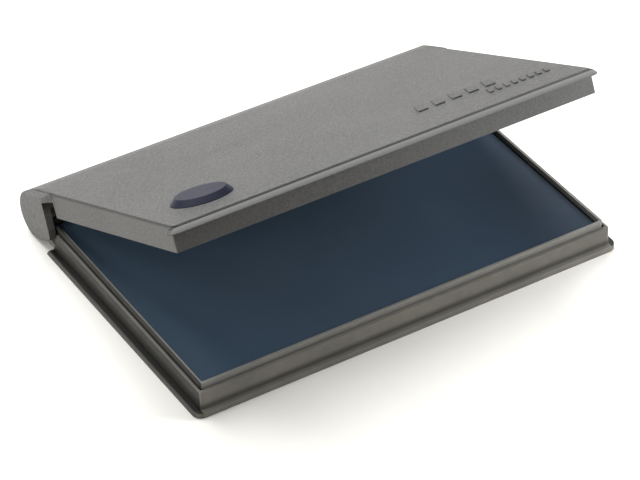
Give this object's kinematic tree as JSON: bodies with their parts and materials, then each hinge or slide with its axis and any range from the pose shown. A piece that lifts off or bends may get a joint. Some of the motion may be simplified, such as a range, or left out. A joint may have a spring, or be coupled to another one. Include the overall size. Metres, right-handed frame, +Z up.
{
  "type": "hinged ink pad",
  "caption": "Flat inked cloth pad in a shallow tray, with a textured lid hinged on a round bead along the back and an oval colour button.",
  "frame": {"origin": "bottom centre of the bounding box with the lid at its rest angle", "axes": "+X along the hinge, +Y from the front edge towards the hinge, +Z up out of the pad"},
  "size_m": [0.116, 0.0856, 0.0465],
  "materials": {
    "base_plastic": "satin dark grey moulded plastic",
    "holder_plastic": "satin near-black moulded plastic",
    "ink_felt": "ink-soaked felt",
    "ink_cloth": "fine woven cloth soaked in blue-black ink",
    "lid_plastic": "fine spark-grain grey moulded plastic",
    "button_plastic": "smooth dark blue plastic",
    "pin_steel": "plain steel wire"
  },
  "bodies": {
    "base": {"base_tray": "base_plastic", "pad_holder": "holder_plastic", "felt_core": "ink_felt", "pad_cloth": "ink_cloth"},
    "lid": {"lid_shell": "lid_plastic", "colour_button": "button_plastic", "hinge_pin_left": "pin_steel", "hinge_pin_right": "pin_steel"}
  },
  "joints": [
    {"name": "lid_hinge", "type": "hinge", "parent": "base", "child": "lid", "pos_m": [0, 0.0368, 0.0062], "axis": [-1, 0, 0], "range_deg": [-26, 64]}
  ]
}
